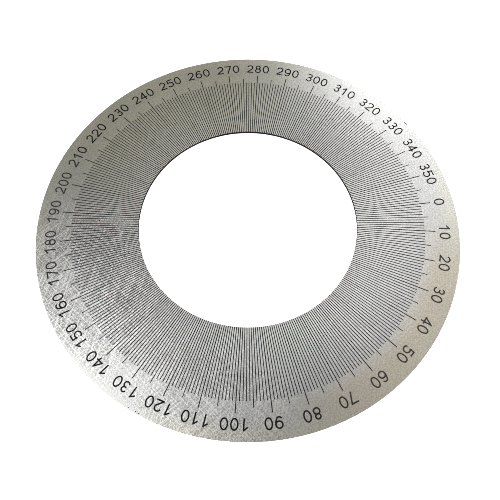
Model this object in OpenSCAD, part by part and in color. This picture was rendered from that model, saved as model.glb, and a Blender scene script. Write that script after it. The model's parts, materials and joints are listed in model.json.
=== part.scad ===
// Graduated dial plate: a flat sheet-metal ring with a full-circle degree scale.
// Every line and numeral is a shallow recess in the top face, filled with black enamel.
// Origin at the centre of the bore on the back face, +Z through the marked face.
// The zero line points along +X and the numbers rise clockwise, seen from above.

/* [Plate] */
// Outside diameter of the plate
plate_d = 200; // [160:1:260]
// Bore diameter, as a share of the outside diameter
bore_share = 0.52; // [0.45:0.005:0.56]
// Thickness of the sheet
plate_t = 1.5; // [1:0.1:4]
// Chamfer that breaks the sharp edges of the rim and the bore
edge_break = 0.08; // [0.04:0.01:0.12]

/* [Scale lines] */
// Width of the one-degree and five-degree lines
line_w = 0.38; // [0.2:0.01:0.42]
// Width of the bolder ten-degree lines
ten_degree_w = 0.44; // [0.2:0.01:0.6]
// Outer end of the one-degree lines, as a share of the outside radius
one_degree_end = 0.838; // [0.75:0.001:0.85]
// Outer end of the five-degree lines, as a share of the outside radius
five_degree_end = 0.864; // [0.852:0.001:0.87]
// Outer end of the ten-degree lines, as a share of the outside radius
ten_degree_end = 0.888; // [0.872:0.001:0.892]

/* [Numerals] */
// Height of the numerals, as a share of the outside radius
digit_share = 0.052; // [0.045:0.001:0.056]
// Middle of the numerals, as a share of the outside radius
digit_middle = 0.9315; // [0.93:0.0005:0.94]
// Width of a digit, as a share of its height
digit_aspect = 0.68; // [0.6:0.01:0.7]
// Step from one digit to the next, as a share of the digit height
digit_step = 0.82; // [0.78:0.005:0.84]
// Stroke width, as a share of the digit height
stroke_share = 0.13; // [0.09:0.005:0.14]

/* [Marking] */
// Depth of the etched recesses
etch_depth = 0.15; // [0.13:0.01:0.3]
// How far the enamel lies below the face of the plate
enamel_recess = 0.02; // [0.01:0.01:0.05]

/* [Hidden] */
plate_r = plate_d / 2;
bore_r = plate_r * bore_share;
etch_z = plate_t - etch_depth;
enamel_h = etch_depth - enamel_recess;
// How far a cutter runs past the surface that it opens
over = 0.5;

one_degree_list = [for (d = [1:359]) if (d % 5 != 0) d];
five_degree_list = [5:10:355];
ten_degree_list = [0:10:350];

// A digit is drawn about its own middle, with its strokes' centre lines within +-a and +-b
digit_h = plate_r * digit_share;
digit_pitch = digit_h * digit_step;
stroke = digit_h * stroke_share;
a = (digit_h * digit_aspect - stroke) / 2;
b = (digit_h - stroke) / 2;
// The edges of a stroke lie this far from its centre line
half = stroke / 2;
// Angle between the points along an arc
arc_step = 15;
// Two points closer than this are the same point
same_point = 0.001;

steel_colour = [0.72, 0.72, 0.70];
enamel_colour = [0.07, 0.07, 0.07];

function unit(angle) = [cos(angle), sin(angle)];

// ---- Strokes: each follows a path of points and is h high

// Points along an arc about a centre, from one angle to another
function arc(centre, r, from, to) =
    let (steps = ceil(abs(to - from) / arc_step))
    [for (i = [0:steps]) centre + r * unit(from + (to - from) * i / steps)];

// The path with each point that repeats the one before it left out
function distinct(path) =
    [for (i = [0:len(path) - 1])
        if (i == 0 || norm(path[i] - path[i - 1]) > same_point) path[i]];

// Points that run beside a path at a distance, mitred where it turns
function beside(path, distance, closed) =
    let (n = len(path))
    [for (i = [0:n - 1])
        let (before = closed || i > 0 ? path[i] - path[(i + n - 1) % n] : path[1] - path[0],
             after = closed || i < n - 1 ? path[(i + 1) % n] - path[i] : path[i] - path[i - 1],
             along = before / norm(before) + after / norm(after),
             across = [-along.y, along.x])
        path[i] + distance * 2 * across / (across * across)];

function reversed(list) = [for (i = [len(list) - 1:-1:0]) list[i]];

// Stroke with square ends along an open path
module open_stroke(path, h) {
    linear_extrude(h)
        polygon(concat(beside(path, half, false), reversed(beside(path, -half, false))));
}

// Stroke along a path whose last point joins its first
module closed_stroke(path, h) {
    n = len(path);
    linear_extrude(h)
        polygon(concat(beside(path, half, true), beside(path, -half, true)),
                [[for (i = [0:n - 1]) i], [for (i = [0:n - 1]) n + i]]);
}

// Round bowl, closed on itself
module ring_stroke(centre, r, h) {
    closed_stroke(arc(centre, r, arc_step, 360), h);
}

// ---- Digits

module zero(h) {
    cap_r = 0.74 * a;
    rise = b - cap_r;
    side_r = (a * a + rise * rise - cap_r * cap_r) / (2 * (a - cap_r));
    joint = atan2(rise, side_r - a);
    right_half = concat(arc([a - side_r, 0], side_r, 0, joint), arc([0, rise], cap_r, joint, 90));
    quarter = distinct(right_half);
    top = concat(quarter, [for (p = reversed(quarter)) if (p.x > same_point) [-p.x, p.y]]);
    bottom = [for (p = reversed(top)) if (p.y > same_point) [p.x, -p.y]];
    closed_stroke(concat(top, bottom), h);
}

module one(h) {
    stem_x = 0.25 * a;
    open_stroke([[stem_x, -b - half], [stem_x, b + half]], h);
    open_stroke([[stem_x, b], [-0.9 * a, 0.38 * b]], h);
}

module two(h) {
    bowl_r = 0.93 * a;
    bowl = [0, b - bowl_r];
    leave = -46;
    start = bowl + bowl_r * unit(leave);
    foot = start - (start.y + b) / cos(leave) * unit(leave + 90);
    open_stroke(concat(arc(bowl, bowl_r, 170, leave), [foot]), h);
    open_stroke([[-a - half, -b], [a + half, -b]], h);
}

module three(h) {
    upper_r = 0.47 * b;
    lower_r = b - upper_r;
    mid = [0.1 * a, b - 2 * upper_r];
    // The upper bow ends inside the lower one, which runs on from the middle arm
    open_stroke(arc(mid + [0, upper_r], upper_r, 165, -75), h);
    open_stroke(concat([[-0.35 * a, mid.y]], arc(mid - [0, lower_r], lower_r, 90, -165)), h);
}

module four(h) {
    stem_x = 0.45 * a;
    cross_y = -0.46 * b;
    open_stroke([[stem_x, -b - half], [stem_x, b + half]], h);
    open_stroke([[-a - half, cross_y], [a + half, cross_y]], h);
    open_stroke([[stem_x, b], [-a, cross_y]], h);
}

module five(h) {
    bowl_r = 1.03 * a;
    bowl = [-0.02 * a, bowl_r - b];
    open_stroke([[a, b], [-0.7 * a, b], bowl + bowl_r * unit(140)], h);
    open_stroke(arc(bowl, bowl_r, 145, -155), h);
}

module six(h) {
    bowl = [0, a - b];
    cap_r = 0.8 * a;
    cap = [0.12 * a, b - cap_r];
    rise = cap.y - bowl.y;
    // The side stroke stands a little proud of the bowl that it runs into
    reach = 1.01 * a + cap.x;
    side_r = (reach * reach + rise * rise - cap_r * cap_r) / (2 * (reach - cap_r));
    side = [cap.x - reach + side_r, bowl.y];
    joint = 180 - atan2(rise, side_r - reach);
    ring_stroke(bowl, a, h);
    open_stroke(distinct(concat(arc(cap, cap_r, 22, joint), arc(side, side_r, joint, 180))), h);
}

module seven(h) {
    open_stroke([[-a - half, b], [a + half, b]], h);
    open_stroke([[a, b], [-0.26 * a, -b - half]], h);
}

module eight(h) {
    upper_r = 0.47 * b;
    lower_r = 0.57 * b;
    ring_stroke([0, b - upper_r], upper_r, h);
    ring_stroke([0, lower_r - b], lower_r, h);
}

module nine(h) {
    rotate(180) six(h);
}

module digit(c, h) {
    if (c == "0") zero(h);
    if (c == "1") one(h);
    if (c == "2") two(h);
    if (c == "3") three(h);
    if (c == "4") four(h);
    if (c == "5") five(h);
    if (c == "6") six(h);
    if (c == "7") seven(h);
    if (c == "8") eight(h);
    if (c == "9") nine(h);
}

// ---- Marks: each stands on the floor of its recess and is h high

// One number, upright with its top towards the rim, centred on its own line
module number_mark(degree, h) {
    word = str(degree);
    rotate(-degree - 90)
        translate([0, plate_r * digit_middle, etch_z])
            for (i = [0:len(word) - 1])
                translate([(i - (len(word) - 1) / 2) * digit_pitch, 0, 0])
                    digit(word[i], h);
}

// Radial lines at the listed degrees, from inside the bore to their outer end
module line_marks(degrees, w, end_share, h) {
    start = bore_r - over;
    for (degree = degrees)
        rotate(-degree)
            translate([start, -w / 2, etch_z])
                cube([plate_r * end_share - start, w, h]);
}

// ---- Sub-parts

// The sheet-metal ring before it is marked
module blank() {
    e = edge_break;
    rotate_extrude($fn = 360)
        polygon([[bore_r + e, 0], [plate_r - e, 0], [plate_r, e], [plate_r, plate_t - e],
                 [plate_r - e, plate_t], [bore_r + e, plate_t], [bore_r, plate_t - e], [bore_r, e]]);
}

module dial_plate() {
    cut_h = etch_depth + over;
    color(steel_colour) difference() {
        blank();
        line_marks(one_degree_list, line_w, one_degree_end, cut_h);
        line_marks(five_degree_list, line_w, five_degree_end, cut_h);
        line_marks(ten_degree_list, ten_degree_w, ten_degree_end, cut_h);
        for (degree = ten_degree_list) number_mark(degree, cut_h);
    }
}

// Enamel in a family of lines, trimmed to the wall of the bore
module line_enamel(degrees, w, end_share) {
    color(enamel_colour) intersection() {
        line_marks(degrees, w, end_share, enamel_h);
        blank();
    }
}

module one_degree_marks() {
    line_enamel(one_degree_list, line_w, one_degree_end);
}

module five_degree_marks() {
    line_enamel(five_degree_list, line_w, five_degree_end);
}

module ten_degree_marks() {
    line_enamel(ten_degree_list, ten_degree_w, ten_degree_end);
}

module numeral(degree) {
    color(enamel_colour) number_mark(degree, enamel_h);
}

dial_plate();
one_degree_marks();
five_degree_marks();
ten_degree_marks();
for (degree = ten_degree_list) {
    numeral(degree);
}
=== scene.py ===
"""Looks for a graduated dial plate: satin sheet steel with black enamel in its etched marks.

All lengths are in metres, in the part's own frame: the plate lies on the floor with its marked
face up, the bore's axis is Z, and the zero line points along +X.
"""

import json
import math

import bpy
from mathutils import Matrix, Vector


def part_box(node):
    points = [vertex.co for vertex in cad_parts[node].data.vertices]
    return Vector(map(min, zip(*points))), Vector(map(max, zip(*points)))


MM = 0.001

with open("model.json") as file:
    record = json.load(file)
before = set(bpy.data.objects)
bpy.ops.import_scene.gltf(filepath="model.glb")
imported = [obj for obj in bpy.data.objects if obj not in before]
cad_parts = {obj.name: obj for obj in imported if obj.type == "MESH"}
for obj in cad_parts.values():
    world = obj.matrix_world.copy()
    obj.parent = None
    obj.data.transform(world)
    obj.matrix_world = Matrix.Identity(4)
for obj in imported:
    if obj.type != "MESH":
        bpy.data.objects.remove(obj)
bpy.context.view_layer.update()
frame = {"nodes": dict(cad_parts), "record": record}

# ---- Sizes, from the frame

PLATE = "dial_plate"
FILLS = [name for name in frame["nodes"] if name != PLATE]

plate_low, plate_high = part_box(PLATE)
plate_r = plate_high.x
top_z = plate_high.z
floor_z = plate_low.z
bore = next(mount for mount in frame["record"]["mounts"] if mount["name"] == "bore")
bore_r = bore["dims"]["r_mm"] * MM

# ---- Camera: where it is and where it aims, in plate radii from the middle of the marked face

CAMERA_AT = Vector((-0.134, -1.231, 2.412))
CAMERA_AIM = Vector((-0.0071, -0.1480, 0.0))
LENS_MM = 40.95
SENSOR_MM = 36.0
CLIP_START = 10 * MM
# Width of the pixel filter, narrow enough to keep the fine lines apart
PIXEL_FILTER = 0.9

# ---- Light and floor

# Softboxes, all aimed at the dial: name, place, width, height, radiance
SOFTBOXES = [
    ("window", (0.76, 0.91, 1.0), 0.91, 0.20, 7.1),
    ("side", (-0.72, 0.14, 1.0), 0.50, 1.20, 2.0),
    ("overhead", (0.14, 0.42, 1.0), 0.69, 0.40, 1.375),
    ("front_left", (-0.90, -1.10, 1.0), 0.80, 0.80, 2.5),
    ("front_right", (0.90, -1.10, 1.0), 0.80, 0.80, 2.5),
]
# What the steel reflects between the softboxes, and what the camera sees beyond the paper
ROOM = (0.188, 0.185, 0.179)
BACKDROP = (1.0, 1.0, 1.0)
PAPER = (0.93, 0.93, 0.93)
PAPER_ROUGHNESS = 0.8
# The paper glows, which keeps it white in the plate's own shadow
PAPER_GLOW = 0.9
# Half the side of the sheet of paper
FLOOR_HALF = 3.0
# The paper lies this far below the plate, so that their faces don't coincide
FLOOR_GAP = 0.02 * MM

# A spot of the face is: reading, share of the radius, how far out it stays full, where it ends,
# and its strength where that isn't 1. A band is two shares of the radius.

# ---- Steel: its grain, clouds and scratches

STEEL = (0.66, 0.66, 0.65)
STEEL_ROUGHNESS = 0.30
ROUGHNESS_SPREAD = 0.16
CLOUD = 34 * MM
CLOUD_TONE = 0.12
GRAIN = 0.75 * MM
GRAIN_HEIGHT = 0.010 * MM
FINE_GRAIN = 0.28 * MM
# The grain goes from dark to light between these values of its noise
SPECKLE_RANGE = (0.3, 0.7)
SPECKLE = 0.36
SCRATCH_LENGTH = 30 * MM
SCRATCH_WIDTH = 0.55 * MM
SCRATCH_HEIGHT = 0.005 * MM
SCRATCH_TONE = 0.25
SCRATCH_DEPTH = 0.25
# A scratch starts and is full at these values of its noise
SCRATCH_RANGE = (0.45, 0.7)
# Level of all the scratches together that leaves the steel as it is
SCRATCH_LEVEL = 0.7
# Directions of the crossing scratches, in degrees from the zero line
SCRATCH_ANGLES = (34, -52, 71)
# Where the plate is worn, and what wear adds to the speckle, the scratches and the grain's height
WORN_SPOTS = [(109, 0.92, 14 * MM, 50 * MM, 0.65), (163, 0.88, 24 * MM, 56 * MM)]
WORN_SPECKLE = 0.5
WORN_SCRATCHES = 1.6
WORN_GRIT = 0.6
# The edge of the rim is rubbed smooth at one spot, where this share of its texture is gone
SMOOTHING = 0.75
SMOOTH_SPOT = (137, 1.0, 12 * MM, 38 * MM)
SMOOTH_BAND = (0.965, 0.995)

# ---- Steel: its tones and tints

# The steel's colour is multiplied by its tone, which starts from this and has the rest added
PLAIN_TONE = 0.98
# A pale spot, where the face is a little brighter
PALE_SPOT = (95, 0.74, 5 * MM, 30 * MM)
PALE_GAIN = 0.15
# The face is a little brighter towards the rim, a painted sheen, and yellower, except at the spots
# listed below, where the yellow is gone and only a little painted sheen is left
MARGIN_BAND = (0.90, 0.985)
MARGIN_SHEEN = 0.12
MARGIN_TINT = 0.45
UNYELLOWED_SPOTS = [(146, 1.0, 30 * MM, 70 * MM), (320, 1.0, 35 * MM, 75 * MM)]
UNYELLOWED_SHEEN = 0.015
# Width of the rubbed edges at the rim and the bore, the painted highlight that makes them brighter,
# and how much smoother they are
RUBBED_HIGHLIT_WIDTH = 0.45 * MM
RUBBED_EDGE_HIGHLIGHT = 0.06
RUBBED_POLISH = 0.05
# The warm tints are painted reflections of the warm room light, and they are uneven: their strength
# away from any cloud, and what the clouds add
WARM_REFLECTION_STRENGTH = 0.6
WARM_REFLECTION_CLOUD = 0.8
# The straw tint, a painted warm reflection, keeps to the outer part of the face
STRAW = (0.69, 0.63, 0.535)
STRAW_REFLECTION_SPOT = (47, 1.0, 30 * MM, 79 * MM)
STRAW_REFLECTION_BAND = (0.81, 0.90)
# The olive tint, a painted warm reflection, weakens towards the bore, down to this share of its
# strength
OLIVE_REFLECTION_INSIDE = 0.55
OLIVE = (0.68, 0.66, 0.54)
OLIVE_REFLECTION_SPOT = (243, 0.95, 30 * MM, 105 * MM)
OLIVE_REFLECTION_BAND = (0.45, 0.90)

# ---- Steel: specks and the cut wall of the bore

SPECK_COLOUR = (0.05, 0.047, 0.04)
# A speck is solid out to this share of its radius
SPECK_CORE = 0.3
# Specks of dirt, nearly all at the rim: reading, share of the plate's radius, the speck's own radius
SPECKS = [
    (123.5, 0.994, 0.32 * MM),
    (124.4, 0.993, 0.38 * MM),
    (126.4, 0.994, 0.32 * MM),
    (187.3, 0.707, 0.34 * MM),
    (331.3, 0.996, 0.46 * MM),
    (331.75, 0.9955, 0.66 * MM),
    (332.2, 0.9955, 0.42 * MM),
]
# The wall of the bore is near black and rougher than the face
DARK_WALL = (0.020, 0.018, 0.016)
DARK_WALL_ROUGHNESS = 0.3
# A face is a wall as the upright part of its normal falls from the first value to the second
WALL_FACING = (0.75, 0.6)
# The dark wall keeps this close to the bore: none of it beyond the first, all within the second
BORE_SKIN = (0.3 * MM, 0.2 * MM)

# ---- Enamel

ENAMEL = (0.004, 0.0035, 0.003)
ENAMEL_ROUGHNESS = 0.45
ENAMEL_ROUGHNESS_SPREAD = 0.3
ENAMEL_SPECULAR = 0.25
# Size and height of the enamel's uneven spots, and the values of their noise where dust shows
ENAMEL_SPOT = 1.2 * MM
ENAMEL_HEIGHT = 0.004 * MM
DUSTY_ENAMEL = (0.014, 0.013, 0.012)
DUST_RANGE = (0.5, 0.8)
# The fill of the numerals is greyer at these spots
GREYER_ENAMEL = (0.055, 0.052, 0.049)
GREYER_FILL_SPOTS = [(34, 0.93, 40 * MM, 84 * MM), (187, 0.93, 16 * MM, 46 * MM)]
# The numerals lie outside this band
NUMERALS_BAND = (0.895, 0.905)


def at_reading(reading, share):
    """The point on the marked face at a reading of the dial and a share of its radius."""
    angle = math.radians(-reading)
    across = plate_r * share * Vector((math.cos(angle), math.sin(angle), 0.0))
    return across + Vector((0, 0, top_z))


def rgba(colour):
    return (*colour, 1.0)


class Nodes:
    """A new material and short calls that add nodes to it; each call gives back an output."""

    def __init__(self, name):
        self.material = bpy.data.materials.new(name)
        self.material.use_nodes = True
        self.tree = self.material.node_tree
        self.tree.nodes.clear()

    def put(self, kind, inputs, output=0, **settings):
        """Adds a node; inputs maps a socket's name or number to another output or a constant."""
        node = self.tree.nodes.new("ShaderNode" + kind)
        for name, value in settings.items():
            setattr(node, name, value)
        for name, value in inputs.items():
            if isinstance(value, bpy.types.NodeSocket):
                self.tree.links.new(value, node.inputs[name])
            else:
                node.inputs[name].default_value = value
        return node.outputs[output]

    def math(self, operation, *values):
        return self.put("Math", dict(enumerate(values)), operation=operation)

    def vector(self, operation, *values, output="Vector"):
        return self.put("VectorMath", dict(enumerate(values)), output, operation=operation)

    def times(self, first, second):
        return self.math("MULTIPLY", first, second)

    def plus(self, base, value, weight):
        """The base plus a weighted value."""
        return self.math("MULTIPLY_ADD", value, weight, base)

    def centred(self, noise):
        """Noise from 0 to 1 moved to lie about 0."""
        return self.math("SUBTRACT", noise, 0.5)

    def scaled(self, colour, factor):
        return self.put("VectorMath", {0: colour, "Scale": factor}, operation="SCALE")

    def fade(self, value, start, end, low=0.0, high=1.0):
        """Low before start, high after end, and smooth between them."""
        limits = {"From Min": start, "From Max": end, "To Min": low, "To Max": high}
        return self.put("MapRange", {"Value": value, **limits}, interpolation_type="SMOOTHSTEP")

    def mix(self, factor, first, second):
        """A mix of two colours: factor 0 gives the first and 1 the second."""
        return self.put("Mix", {0: factor, 6: first, 7: second}, output=2, data_type="RGBA")

    def place(self):
        """The place of each point in the part's frame."""
        return self.put("TexCoord", {}, output="Object")

    def from_axis(self, place):
        """Distance from the bore's axis."""
        return self.vector("LENGTH", self.vector("MULTIPLY", place, (1, 1, 0)), output="Value")

    def outside(self, radius, band, low=0.0):
        """Low inside a band, 1 outside it."""
        inner, outer = band
        return self.fade(radius, plate_r * inner, plate_r * outer, low)

    def near(self, place, reading, share, full, end, strength=1.0):
        """The spot's strength around its middle, 0 away from it."""
        distance = self.vector("DISTANCE", place, at_reading(reading, share), output="Value")
        return self.fade(distance, end, full, high=strength)

    def near_any(self, place, spots):
        """The strongest of several spots."""
        strongest = 0.0
        for spot in spots:
            strongest = self.math("MAXIMUM", strongest, self.near(place, *spot))
        return strongest

    def noise(self, place, size, detail=2.0, rough=0.5):
        """Noise from 0 to 1 whose largest features are about that size."""
        inputs = {"Vector": place, "Scale": 1 / size, "Detail": detail, "Roughness": rough}
        return self.put("TexNoise", inputs)

    def streaks(self, place, angle, length, width):
        """Noise from 0 to 1, drawn out along a direction in the plane of the dial."""
        inputs = {"Vector": place, "Angle": -math.radians(angle)}
        turned = self.put("VectorRotate", inputs, rotation_type="Z_AXIS")
        drawn = self.vector("MULTIPLY", turned, (1 / length, 1 / width, 1 / length))
        return self.noise(drawn, 1.0, detail=1.0)

    def bump(self, height, distance, normal=None):
        inputs = {"Height": height, "Distance": distance, "Strength": 1.0}
        if normal:
            inputs["Normal"] = normal
        return self.put("Bump", inputs)

    def finish(self, **inputs):
        """Ends in one Principled shader with those inputs (spaces as underscores)."""
        named = {name.replace("_", " "): value for name, value in inputs.items()}
        shader = self.put("BsdfPrincipled", named)
        out = self.tree.nodes.new("ShaderNodeOutputMaterial")
        self.tree.links.new(shader, out.inputs["Surface"])
        return self.material


# ---- Camera, light and floor


def make_camera():
    centre = Vector((0.0, 0.0, top_z))
    data = bpy.data.cameras.new("camera")
    data.lens = LENS_MM
    data.sensor_width = SENSOR_MM
    data.clip_start = CLIP_START
    camera = bpy.data.objects.new("camera", data)
    camera.location = centre + plate_r * CAMERA_AT
    camera.rotation_euler = (CAMERA_AIM - CAMERA_AT).to_track_quat("-Z", "Y").to_euler()
    bpy.context.scene.collection.objects.link(camera)
    bpy.context.scene.camera = camera


def make_softbox(name, place, width, height, radiance):
    """A rectangular area light of that radiance, facing the dial."""
    data = bpy.data.lights.new(name, "AREA")
    data.shape = "RECTANGLE"
    data.size = width
    data.size_y = height
    data.energy = radiance * math.pi * width * height
    lamp = bpy.data.objects.new(name, data)
    lamp.location = place
    lamp.rotation_euler = (-Vector(place)).to_track_quat("-Z", "Y").to_euler()
    bpy.context.scene.collection.objects.link(lamp)


def make_world():
    """Dim surroundings for the steel to reflect, behind a white backdrop."""
    world = bpy.data.worlds.new("studio")
    world.use_nodes = True
    tree = world.node_tree
    tree.nodes.clear()
    room = tree.nodes.new("ShaderNodeBackground")
    room.inputs["Color"].default_value = rgba(ROOM)
    backdrop = tree.nodes.new("ShaderNodeBackground")
    backdrop.inputs["Color"].default_value = rgba(BACKDROP)
    ray = tree.nodes.new("ShaderNodeLightPath")
    choice = tree.nodes.new("ShaderNodeMixShader")
    out = tree.nodes.new("ShaderNodeOutputWorld")
    tree.links.new(ray.outputs["Is Camera Ray"], choice.inputs[0])
    tree.links.new(room.outputs[0], choice.inputs[1])
    tree.links.new(backdrop.outputs[0], choice.inputs[2])
    tree.links.new(choice.outputs[0], out.inputs["Surface"])
    bpy.context.scene.world = world


def make_floor():
    """A square sheet of white paper under the plate."""
    half = FLOOR_HALF
    height = floor_z - FLOOR_GAP
    corners = [(x * half, y * half, height) for x, y in ((-1, -1), (1, -1), (1, 1), (-1, 1))]
    mesh = bpy.data.meshes.new("floor")
    mesh.from_pydata(corners, [], [(0, 1, 2, 3)])
    floor = bpy.data.objects.new("floor", mesh)
    bpy.context.scene.collection.objects.link(floor)
    paper = Nodes("paper").finish(
        Base_Color=rgba(PAPER),
        Roughness=PAPER_ROUGHNESS,
        Emission_Color=rgba(BACKDROP),
        Emission_Strength=PAPER_GLOW,
    )
    mesh.materials.append(paper)


# ---- Materials


def scratch_relief(n, place, depth):
    """Crossing scratches of that depth, about 0 where there are few."""
    scratches = 0.0
    for angle in SCRATCH_ANGLES:
        streaks = n.streaks(place, angle, SCRATCH_LENGTH, SCRATCH_WIDTH)
        scratches = n.math("ADD", scratches, n.fade(streaks, *SCRATCH_RANGE))
    return n.times(n.math("SUBTRACT", scratches, SCRATCH_LEVEL), depth)


def rubbed_highlit_edges(n, radius):
    """1 at the rim and at the bore, 0 away from them."""
    from_rim = n.math("SUBTRACT", plate_r, radius)
    from_bore = n.math("SUBTRACT", radius, bore_r)
    return n.fade(n.math("MINIMUM", from_rim, from_bore), RUBBED_HIGHLIT_WIDTH, 0.0)


def dark_bore_wall(n, radius):
    """1 on the wall of the bore, 0 elsewhere."""
    upright = n.put("SeparateXYZ", {0: n.put("NewGeometry", {}, output="True Normal")}, output="Z")
    wall = n.fade(n.math("ABSOLUTE", upright), *WALL_FACING)
    at_bore = n.fade(radius, *(bore_r + skin for skin in BORE_SKIN))
    return n.times(wall, at_bore)


def specks(n, place):
    """1 on the specks of dirt, 0 elsewhere."""
    spots = [(reading, share, SPECK_CORE * size, size) for reading, share, size in SPECKS]
    return n.near_any(place, spots)


def steel_tint(n, place, radius, cloud, margin_sheen_and_yellow):
    """The colour of the steel with its painted warm reflections and its yellower margin."""
    # The straw and olive tints are painted warm reflections of the room
    warm_reflection_strength = n.plus(WARM_REFLECTION_STRENGTH, cloud, WARM_REFLECTION_CLOUD)
    straw_reflection = n.times(n.near(place, *STRAW_REFLECTION_SPOT), n.outside(radius, STRAW_REFLECTION_BAND))
    olive_reflection = n.times(n.near(place, *OLIVE_REFLECTION_SPOT), n.outside(radius, OLIVE_REFLECTION_BAND, OLIVE_REFLECTION_INSIDE))
    tint = n.mix(n.times(straw_reflection, warm_reflection_strength), rgba(STEEL), rgba(STRAW))
    tint = n.mix(n.times(olive_reflection, warm_reflection_strength), tint, rgba(OLIVE))
    return n.mix(n.times(margin_sheen_and_yellow, MARGIN_TINT), tint, rgba(OLIVE))


def steel():
    """Satin sheet: grainy, crossed by fine scratches, with a painted highlight on its rubbed edges
    and a painted sheen towards the rim, dark in the cut bore.
    """
    n = Nodes("satin_steel")
    place = n.place()
    radius = n.from_axis(place)
    worn = n.near_any(place, WORN_SPOTS)
    smooth = n.times(n.near(place, *SMOOTH_SPOT), n.outside(radius, SMOOTH_BAND))
    # Share of the grain and the scratches that is still there
    kept = n.plus(1.0, smooth, -SMOOTHING)
    # Painted sheen and a yellower tint towards the rim, both mostly left out at the spots
    margin = n.outside(radius, MARGIN_BAND)
    unyellowed_spots_mask = n.times(margin, n.near_any(place, UNYELLOWED_SPOTS))
    margin_sheen_and_yellow = n.math("SUBTRACT", margin, unyellowed_spots_mask)
    rubbed_highlit_edge = rubbed_highlit_edges(n, radius)
    dark_wall = dark_bore_wall(n, radius)

    cloud = n.noise(place, CLOUD, detail=3.0)
    grain = n.noise(place, GRAIN, detail=3.0, rough=0.65)
    fine = n.noise(place, FINE_GRAIN)
    scratches = scratch_relief(n, place, n.times(n.plus(SCRATCH_DEPTH, worn, WORN_SCRATCHES), kept))
    grit = n.times(grain, n.times(n.plus(1.0, worn, WORN_GRIT), kept))
    speckle = n.times(n.centred(n.fade(grain, *SPECKLE_RANGE)), n.plus(SPECKLE, worn, WORN_SPECKLE))

    tone = n.plus(PLAIN_TONE, speckle, kept)
    tone = n.plus(tone, n.centred(cloud), CLOUD_TONE)
    tone = n.plus(tone, scratches, SCRATCH_TONE)
    # Painted highlight along the rubbed edges at the rim and the bore
    tone = n.plus(tone, rubbed_highlit_edge, RUBBED_EDGE_HIGHLIGHT)
    # Painted sheen towards the rim, and a little of it at the spots
    tone = n.plus(tone, margin_sheen_and_yellow, MARGIN_SHEEN)
    tone = n.plus(tone, unyellowed_spots_mask, UNYELLOWED_SHEEN)
    tone = n.plus(tone, n.near(place, *PALE_SPOT), PALE_GAIN)
    face = n.scaled(steel_tint(n, place, radius, cloud, margin_sheen_and_yellow), tone)
    face = n.mix(specks(n, place), face, rgba(SPECK_COLOUR))

    roughness = n.plus(STEEL_ROUGHNESS, n.centred(fine), ROUGHNESS_SPREAD)
    roughness = n.plus(roughness, rubbed_highlit_edge, -RUBBED_POLISH)
    roughness = n.plus(roughness, dark_wall, DARK_WALL_ROUGHNESS)
    normal = n.bump(grit, GRAIN_HEIGHT)
    normal = n.bump(scratches, SCRATCH_HEIGHT, normal)
    return n.finish(
        Base_Color=n.mix(dark_wall, face, rgba(DARK_WALL)),
        Metallic=n.math("SUBTRACT", 1.0, dark_wall),
        Roughness=roughness,
        Specular_IOR_Level=0.0,
        Normal=normal,
    )


def enamel():
    """Matt black fill, a little dusty in places and greyer in some of the numerals."""
    n = Nodes("black_enamel")
    place = n.place()
    spots = n.noise(place, ENAMEL_SPOT, detail=3.0)
    greyer_fill = n.times(n.near_any(place, GREYER_FILL_SPOTS), n.outside(n.from_axis(place), NUMERALS_BAND))
    colour = n.mix(n.fade(spots, *DUST_RANGE), rgba(ENAMEL), rgba(DUSTY_ENAMEL))
    return n.finish(
        Base_Color=n.mix(greyer_fill, colour, rgba(GREYER_ENAMEL)),
        Roughness=n.plus(ENAMEL_ROUGHNESS, spots, ENAMEL_ROUGHNESS_SPREAD),
        Specular_IOR_Level=ENAMEL_SPECULAR,
        Normal=n.bump(spots, ENAMEL_HEIGHT),
    )


def dress(material, names):
    """Gives the named CAD nodes that material alone."""
    for name in names:
        mesh = frame["nodes"][name].data
        mesh.materials.clear()
        mesh.materials.append(material)


make_camera()
make_world()
for softbox in SOFTBOXES:
    make_softbox(*softbox)
make_floor()
dress(steel(), [PLATE])
dress(enamel(), FILLS)
bpy.context.scene.view_settings.view_transform = "Standard"
bpy.context.scene.cycles.filter_width = PIXEL_FILTER
bpy.context.scene.cycles.denoising_prefilter = "NONE"
